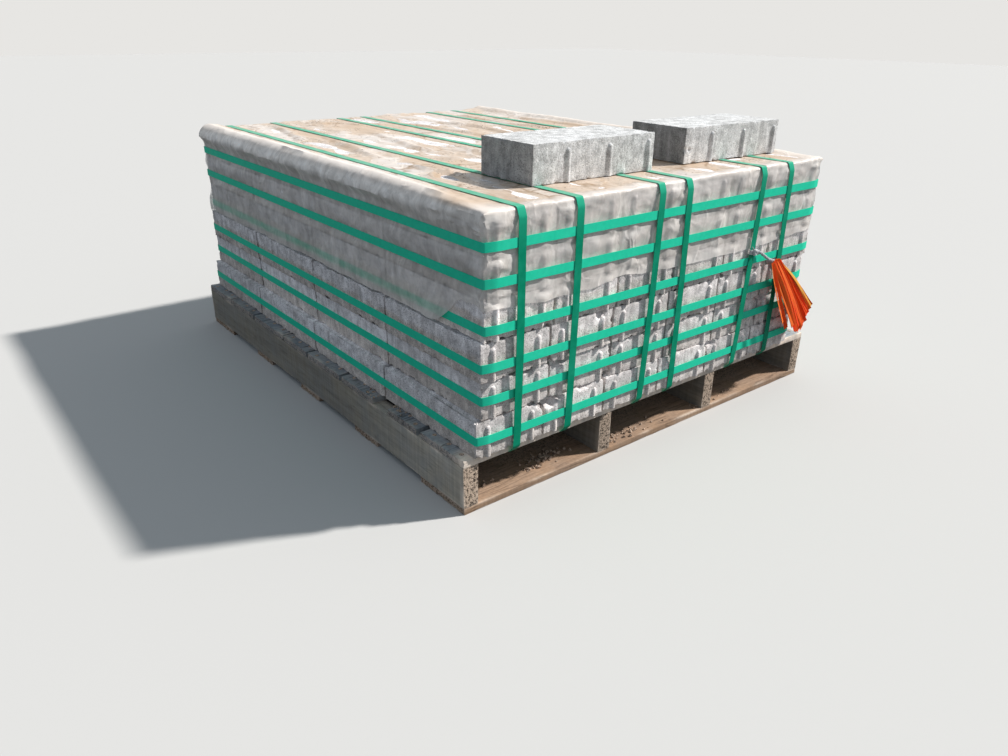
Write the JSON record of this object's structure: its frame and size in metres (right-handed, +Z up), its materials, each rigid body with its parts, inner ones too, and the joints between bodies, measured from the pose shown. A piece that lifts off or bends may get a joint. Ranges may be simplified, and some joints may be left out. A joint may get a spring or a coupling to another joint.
{
  "type": "pallet of patio pavers",
  "caption": "Wooden stringer pallet stacked with courses of ribbed concrete patio pavers, bound with green plastic straps under a clear film top sheet, with loose pavers on top.",
  "frame": {"origin": "middle of the pallet's underside, on the middle bottom board", "axes": "+Z up, +Y from the ribbed front of the load to its back along the stringers, +X to the right along the deck boards"},
  "size_m": [1.016, 1.2402, 0.6018],
  "materials": {
    "concrete": "rough",
    "green_strap": "satin",
    "clear_film": "gloss",
    "twine": "rough",
    "orange_marker": "satin",
    "pallet_wood": "weathered"
  },
  "bodies": {
    "root": {"paver_course_1": "concrete", "paver_course_2": "concrete", "paver_course_3": "concrete", "paver_course_4": "concrete", "paver_course_5": "concrete", "paver_course_6": "concrete", "loose_paver_left": "concrete", "loose_paver_right": "concrete", "course_strap_1": "green_strap", "course_strap_2": "green_strap", "course_strap_3": "green_strap", "course_strap_4": "green_strap", "course_strap_5": "green_strap", "course_strap_6": "green_strap", "vertical_strap_1": "green_strap", "vertical_strap_2": "green_strap", "vertical_strap_3": "green_strap", "vertical_strap_4": "green_strap", "vertical_strap_5": "green_strap", "vertical_strap_6": "green_strap", "top_film": "clear_film", "marker_tie": "twine", "marker_streamers": "orange_marker", "stringer_1": "pallet_wood", "stringer_2": "pallet_wood", "stringer_3": "pallet_wood", "stringer_4": "pallet_wood", "top_board_1": "pallet_wood", "top_board_2": "pallet_wood", "top_board_3": "pallet_wood", "top_board_4": "pallet_wood", "top_board_5": "pallet_wood", "top_board_6": "pallet_wood", "top_board_7": "pallet_wood", "top_board_8": "pallet_wood", "bottom_board_1": "pallet_wood", "bottom_board_2": "pallet_wood", "bottom_board_3": "pallet_wood", "bottom_board_4": "pallet_wood", "bottom_board_5": "pallet_wood"}
  },
  "joints": []
}
